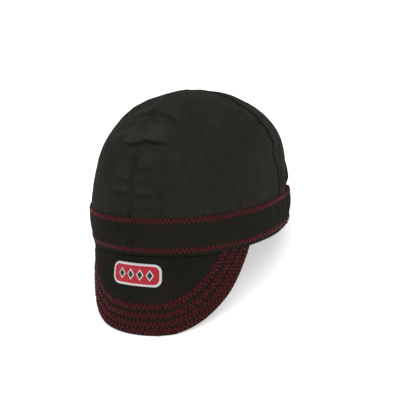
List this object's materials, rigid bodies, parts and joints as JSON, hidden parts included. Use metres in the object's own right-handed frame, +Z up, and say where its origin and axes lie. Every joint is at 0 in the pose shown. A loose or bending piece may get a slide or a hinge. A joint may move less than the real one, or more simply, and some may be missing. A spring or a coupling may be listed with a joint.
{
  "type": "welding cap",
  "caption": "Soft welder's cap with a panelled crown, a red-stitched band and a short hanging brim, resting on its hem and brim.",
  "frame": {"origin": "on the surface that the cap rests on, under the middle of its bounding box", "axes": "+Z up from the resting surface, -Y towards the brim (the front), +X towards the wearer's left; the cap leans back as it rests on its brim's edge and the band's hem"},
  "size_m": [0.1728, 0.2508, 0.1577],
  "materials": {
    "crown_cloth": "matte brushed cotton twill, charcoal black",
    "band_cloth": "matte cotton twill with red zigzag stitching",
    "brim_cloth": "matte cotton twill, many plies, with rows of red zigzag stitching",
    "emblem_thread": "satin embroidery thread"
  },
  "bodies": {
    "root": {"crown_panel_front_left": "crown_cloth", "crown_panel_front_right": "crown_cloth", "crown_panel_back_left": "crown_cloth", "crown_panel_back_right": "crown_cloth", "head_band": "band_cloth", "brim": "brim_cloth", "brim_emblem": "emblem_thread"}
  },
  "joints": []
}
